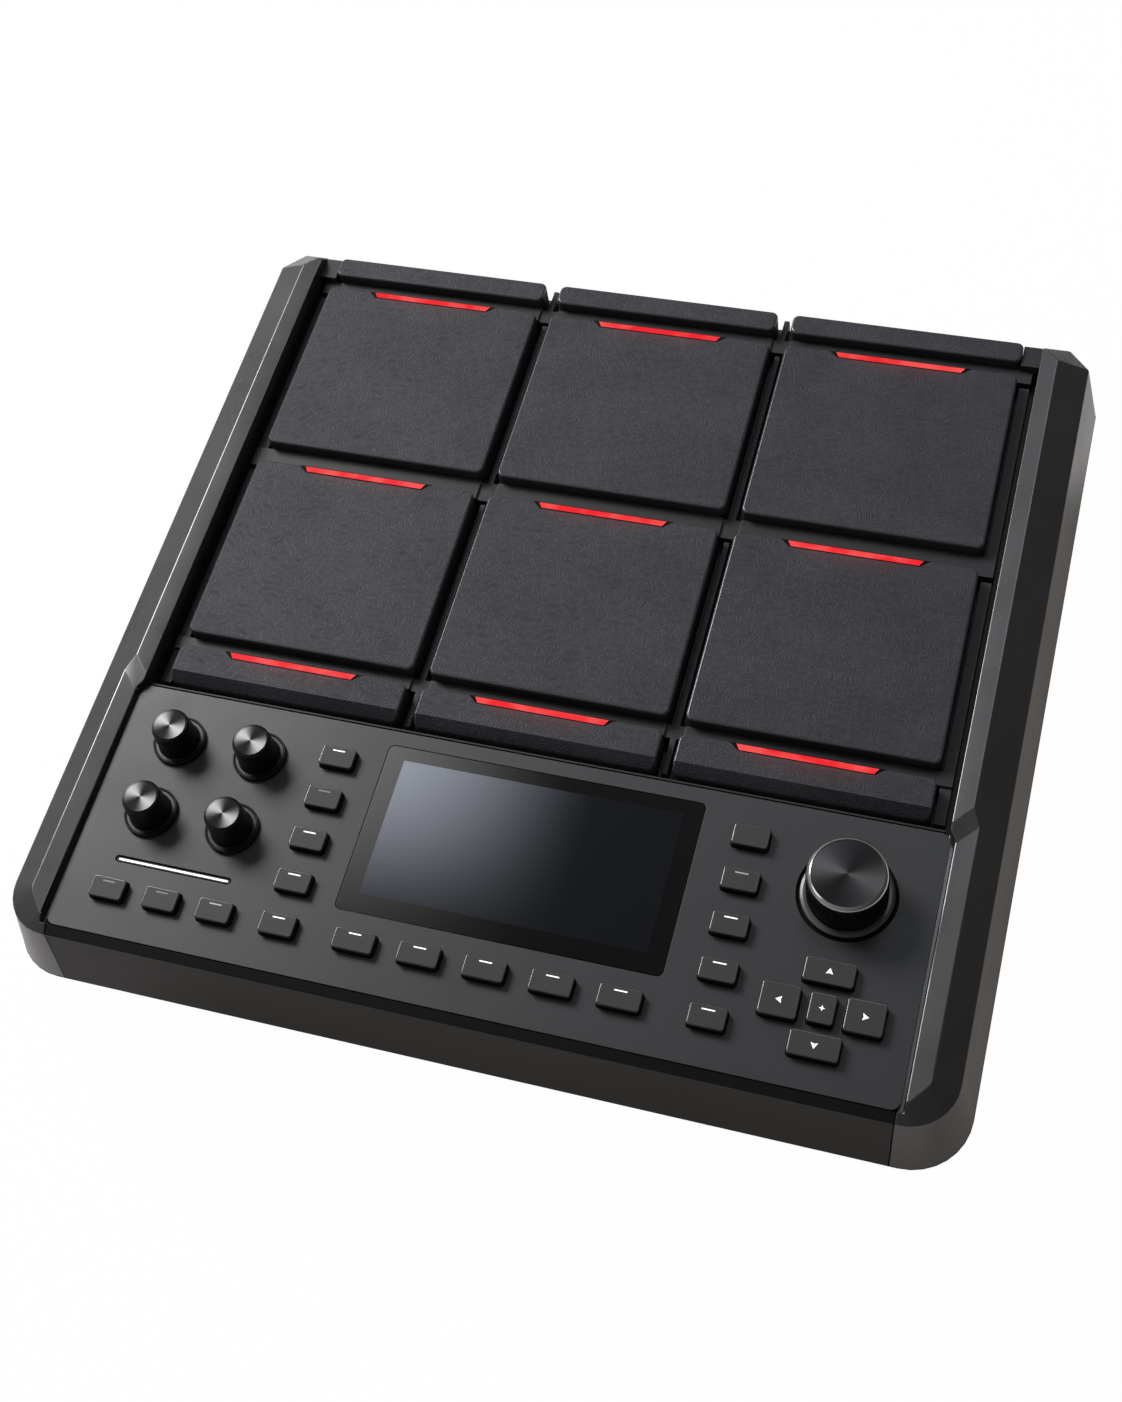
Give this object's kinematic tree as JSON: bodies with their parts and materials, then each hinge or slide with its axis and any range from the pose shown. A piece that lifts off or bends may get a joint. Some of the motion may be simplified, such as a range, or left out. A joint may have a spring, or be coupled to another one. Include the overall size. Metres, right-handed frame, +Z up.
{
  "type": "sampling percussion pad",
  "caption": "Table-top electronic percussion unit: rubber drum pads with red light bars on a deck between two side rails, and a front control panel with screen, dial, knobs and keys.",
  "frame": {"origin": "middle of the bounding box at the feet's underside", "axes": "+X to the player's right, +Y to the rear with the sockets, +Z up out of the pads"},
  "size_m": [0.4088, 0.3784, 0.094],
  "materials": {
    "case": "fine matt moulding",
    "rail": "satin moulding",
    "deck": "fine matt moulding",
    "panel": "satin paint",
    "screen": "clear window, polished",
    "display": "dark display",
    "red_light": "lit diffuser",
    "white_light": "lit diffuser",
    "board": "circuit board",
    "sensor": "foam and film",
    "socket": "moulded",
    "foot_rubber": "matt rubber",
    "steel": "plated",
    "switch": "moulded",
    "insert": "turned",
    "pad_rubber": "fine leather grain",
    "knob_plastic": "soft touch",
    "cap_metal": "spun",
    "key_plastic": "satin rubber-like plastic"
  },
  "bodies": {
    "housing": {"bottom_case": "case", "left_side_rail": "rail", "right_side_rail": "rail", "pad_deck": "deck", "control_panel": "panel", "screen_glass": "screen", "display_module": "display", "pad_light_bars": "red_light", "status_light_bar": "white_light", "main_board": "board", "panel_board": "board", "pad_sensors": "sensor", "rear_sockets": "socket", "rubber_feet": "foot_rubber", "rotary_controls": "steel", "key_switches": "switch", "case_screws": "steel", "stand_inserts": "insert", "pad_1": "pad_rubber", "pad_2": "pad_rubber", "pad_3": "pad_rubber", "pad_4": "pad_rubber", "pad_5": "pad_rubber", "pad_6": "pad_rubber", "upper_bar_pads": "pad_rubber", "lower_bar_pads": "pad_rubber"},
    "knob_1_body": {"knob_1": "knob_plastic", "knob_cap_1": "cap_metal"},
    "knob_2_body": {"knob_2": "knob_plastic", "knob_cap_2": "cap_metal"},
    "knob_3_body": {"knob_3": "knob_plastic", "knob_cap_3": "cap_metal"},
    "knob_4_body": {"knob_4": "knob_plastic", "knob_cap_4": "cap_metal"},
    "dial_body": {"dial": "knob_plastic", "dial_cap": "cap_metal"},
    "mode_key_1_body": {"mode_key_1": "key_plastic"},
    "mode_key_2_body": {"mode_key_2": "key_plastic"},
    "mode_key_3_body": {"mode_key_3": "key_plastic"},
    "left_key_1_body": {"left_key_1": "key_plastic"},
    "left_key_2_body": {"left_key_2": "key_plastic"},
    "left_key_3_body": {"left_key_3": "key_plastic"},
    "left_key_4_body": {"left_key_4": "key_plastic"},
    "left_key_5_body": {"left_key_5": "key_plastic"},
    "screen_key_1_body": {"screen_key_1": "key_plastic"},
    "screen_key_2_body": {"screen_key_2": "key_plastic"},
    "screen_key_3_body": {"screen_key_3": "key_plastic"},
    "screen_key_4_body": {"screen_key_4": "key_plastic"},
    "screen_key_5_body": {"screen_key_5": "key_plastic"},
    "right_key_1_body": {"right_key_1": "key_plastic"},
    "right_key_2_body": {"right_key_2": "key_plastic"},
    "right_key_3_body": {"right_key_3": "key_plastic"},
    "right_key_4_body": {"right_key_4": "key_plastic"},
    "right_key_5_body": {"right_key_5": "key_plastic"},
    "nav_up_key_body": {"nav_up_key": "key_plastic"},
    "nav_left_key_body": {"nav_left_key": "key_plastic"},
    "nav_enter_key_body": {"nav_enter_key": "key_plastic"},
    "nav_right_key_body": {"nav_right_key": "key_plastic"},
    "nav_down_key_body": {"nav_down_key": "key_plastic"},
    "power_button_body": {"power_button": "key_plastic"}
  },
  "joints": [
    {"name": "knob_1_turn", "type": "hinge", "parent": "housing", "child": "knob_1_body", "pos_m": [-0.1504, -0.0865, 0.0734], "axis": [0, 0, 1], "range_deg": [-150, 150]},
    {"name": "knob_2_turn", "type": "hinge", "parent": "housing", "child": "knob_2_body", "pos_m": [-0.113, -0.0865, 0.0734], "axis": [0, 0, 1], "range_deg": [-150, 150]},
    {"name": "knob_3_turn", "type": "hinge", "parent": "housing", "child": "knob_3_body", "pos_m": [-0.1504, -0.1211, 0.0734], "axis": [0, 0, 1], "range_deg": [-150, 150]},
    {"name": "knob_4_turn", "type": "hinge", "parent": "housing", "child": "knob_4_body", "pos_m": [-0.113, -0.1211, 0.0734], "axis": [0, 0, 1], "range_deg": [-150, 150]},
    {"name": "dial_turn", "type": "hinge", "parent": "housing", "child": "dial_body", "pos_m": [0.1416, -0.0963, 0.0734], "axis": [0, 0, 1], "continuous": true},
    {"name": "mode_key_1_press", "type": "slide", "parent": "housing", "child": "mode_key_1_body", "axis": [0, 0, -1], "range_m": [0, 0.0008], "stiffness_N_per_m": 400},
    {"name": "mode_key_2_press", "type": "slide", "parent": "housing", "child": "mode_key_2_body", "axis": [0, 0, -1], "range_m": [0, 0.0008], "stiffness_N_per_m": 400},
    {"name": "mode_key_3_press", "type": "slide", "parent": "housing", "child": "mode_key_3_body", "axis": [0, 0, -1], "range_m": [0, 0.0008], "stiffness_N_per_m": 400},
    {"name": "left_key_1_press", "type": "slide", "parent": "housing", "child": "left_key_1_body", "axis": [0, 0, -1], "range_m": [0, 0.0008], "stiffness_N_per_m": 400},
    {"name": "left_key_2_press", "type": "slide", "parent": "housing", "child": "left_key_2_body", "axis": [0, 0, -1], "range_m": [0, 0.0008], "stiffness_N_per_m": 400},
    {"name": "left_key_3_press", "type": "slide", "parent": "housing", "child": "left_key_3_body", "axis": [0, 0, -1], "range_m": [0, 0.0008], "stiffness_N_per_m": 400},
    {"name": "left_key_4_press", "type": "slide", "parent": "housing", "child": "left_key_4_body", "axis": [0, 0, -1], "range_m": [0, 0.0008], "stiffness_N_per_m": 400},
    {"name": "left_key_5_press", "type": "slide", "parent": "housing", "child": "left_key_5_body", "axis": [0, 0, -1], "range_m": [0, 0.0008], "stiffness_N_per_m": 400},
    {"name": "screen_key_1_press", "type": "slide", "parent": "housing", "child": "screen_key_1_body", "axis": [0, 0, -1], "range_m": [0, 0.0008], "stiffness_N_per_m": 400},
    {"name": "screen_key_2_press", "type": "slide", "parent": "housing", "child": "screen_key_2_body", "axis": [0, 0, -1], "range_m": [0, 0.0008], "stiffness_N_per_m": 400},
    {"name": "screen_key_3_press", "type": "slide", "parent": "housing", "child": "screen_key_3_body", "axis": [0, 0, -1], "range_m": [0, 0.0008], "stiffness_N_per_m": 400},
    {"name": "screen_key_4_press", "type": "slide", "parent": "housing", "child": "screen_key_4_body", "axis": [0, 0, -1], "range_m": [0, 0.0008], "stiffness_N_per_m": 400},
    {"name": "screen_key_5_press", "type": "slide", "parent": "housing", "child": "screen_key_5_body", "axis": [0, 0, -1], "range_m": [0, 0.0008], "stiffness_N_per_m": 400},
    {"name": "right_key_1_press", "type": "slide", "parent": "housing", "child": "right_key_1_body", "axis": [0, 0, -1], "range_m": [0, 0.0008], "stiffness_N_per_m": 400},
    {"name": "right_key_2_press", "type": "slide", "parent": "housing", "child": "right_key_2_body", "axis": [0, 0, -1], "range_m": [0, 0.0008], "stiffness_N_per_m": 400},
    {"name": "right_key_3_press", "type": "slide", "parent": "housing", "child": "right_key_3_body", "axis": [0, 0, -1], "range_m": [0, 0.0008], "stiffness_N_per_m": 400},
    {"name": "right_key_4_press", "type": "slide", "parent": "housing", "child": "right_key_4_body", "axis": [0, 0, -1], "range_m": [0, 0.0008], "stiffness_N_per_m": 400},
    {"name": "right_key_5_press", "type": "slide", "parent": "housing", "child": "right_key_5_body", "axis": [0, 0, -1], "range_m": [0, 0.0008], "stiffness_N_per_m": 400},
    {"name": "nav_up_key_press", "type": "slide", "parent": "housing", "child": "nav_up_key_body", "axis": [0, 0, -1], "range_m": [0, 0.0008], "stiffness_N_per_m": 400},
    {"name": "nav_left_key_press", "type": "slide", "parent": "housing", "child": "nav_left_key_body", "axis": [0, 0, -1], "range_m": [0, 0.0008], "stiffness_N_per_m": 400},
    {"name": "nav_enter_key_press", "type": "slide", "parent": "housing", "child": "nav_enter_key_body", "axis": [0, 0, -1], "range_m": [0, 0.0008], "stiffness_N_per_m": 400},
    {"name": "nav_right_key_press", "type": "slide", "parent": "housing", "child": "nav_right_key_body", "axis": [0, 0, -1], "range_m": [0, 0.0008], "stiffness_N_per_m": 400},
    {"name": "nav_down_key_press", "type": "slide", "parent": "housing", "child": "nav_down_key_body", "axis": [0, 0, -1], "range_m": [0, 0.0008], "stiffness_N_per_m": 400},
    {"name": "power_button_press", "type": "slide", "parent": "housing", "child": "power_button_body", "axis": [0, -1, 0], "range_m": [0, 0.0015], "stiffness_N_per_m": 400}
  ]
}
